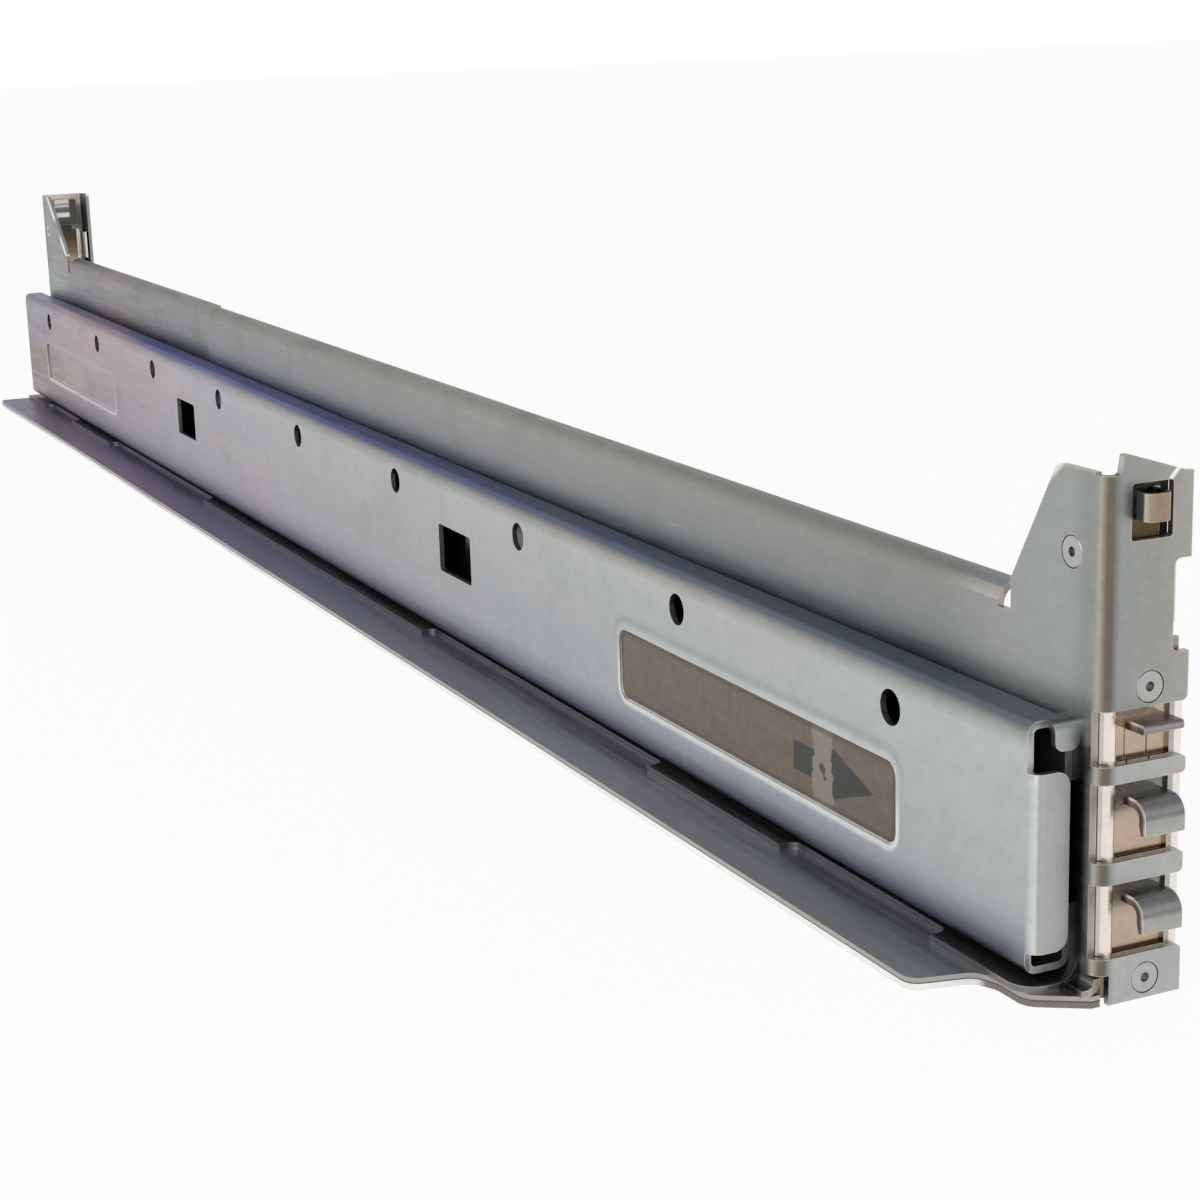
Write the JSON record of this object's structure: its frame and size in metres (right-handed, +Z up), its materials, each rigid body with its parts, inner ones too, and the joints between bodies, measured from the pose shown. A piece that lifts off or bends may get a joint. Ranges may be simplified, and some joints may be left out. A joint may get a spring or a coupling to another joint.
{
  "type": "server rack mounting rail",
  "caption": "Right-hand depth-adjustable server rack rail with support ledge, lipped channel, hook-and-latch ends and a sliding rear section.",
  "frame": {"origin": "front face of the front flange, on the side plate's inboard skin, at the underside of the support ledge", "axes": "+X forward out of the rack's front, +Y outboard away from the chassis, +Z up"},
  "size_m": [0.7327, 0.0403, 0.0875],
  "materials": {
    "zinc_sheet": "zinc plated, faint iridescence",
    "zinc_channel": "zinc plated, faint blue iridescence",
    "zinc_ledge": "zinc plated, duller",
    "nickel_steel": "bright nickel",
    "spring_steel": "bright spring strip",
    "rivet_steel": "plain bright",
    "zinc_fasteners": "zinc plated"
  },
  "bodies": {
    "front_section": {"front_rail": "zinc_sheet", "chassis_channel": "zinc_channel", "support_ledge": "zinc_ledge", "front_hook_plate": "nickel_steel", "front_hook_rivets": "rivet_steel", "front_latch_foot": "spring_steel", "front_latch_rivet": "rivet_steel", "guide_stud": "zinc_fasteners", "guide_washer": "zinc_fasteners", "lock_screw": "zinc_fasteners", "lock_bush": "zinc_fasteners", "lock_washer": "zinc_fasteners", "lock_nut": "zinc_fasteners"},
    "rear_section": {"rear_rail": "zinc_sheet", "rear_hook_plate": "nickel_steel", "rear_hook_rivets": "rivet_steel", "rear_latch_foot": "spring_steel", "rear_latch_rivet": "rivet_steel"},
    "front_latch": {"front_latch_tongue": "spring_steel"},
    "rear_latch": {"rear_latch_tongue": "spring_steel"}
  },
  "joints": [
    {"name": "depth_slide", "type": "slide", "parent": "front_section", "child": "rear_section", "axis": [-1, 0, 0], "range_m": [0, 0.2]},
    {"name": "front_latch_spring", "type": "hinge", "parent": "front_section", "child": "front_latch", "pos_m": [-0.002, 0.0097, 0.0582], "axis": [0, -1, 0], "range_deg": [0, 12], "stiffness_Nm_per_rad": 0.3},
    {"name": "rear_latch_spring", "type": "hinge", "parent": "rear_section", "child": "rear_latch", "pos_m": [-0.721, 0.0112, 0.0582], "axis": [0, 1, 0], "range_deg": [0, 12], "stiffness_Nm_per_rad": 0.3}
  ]
}
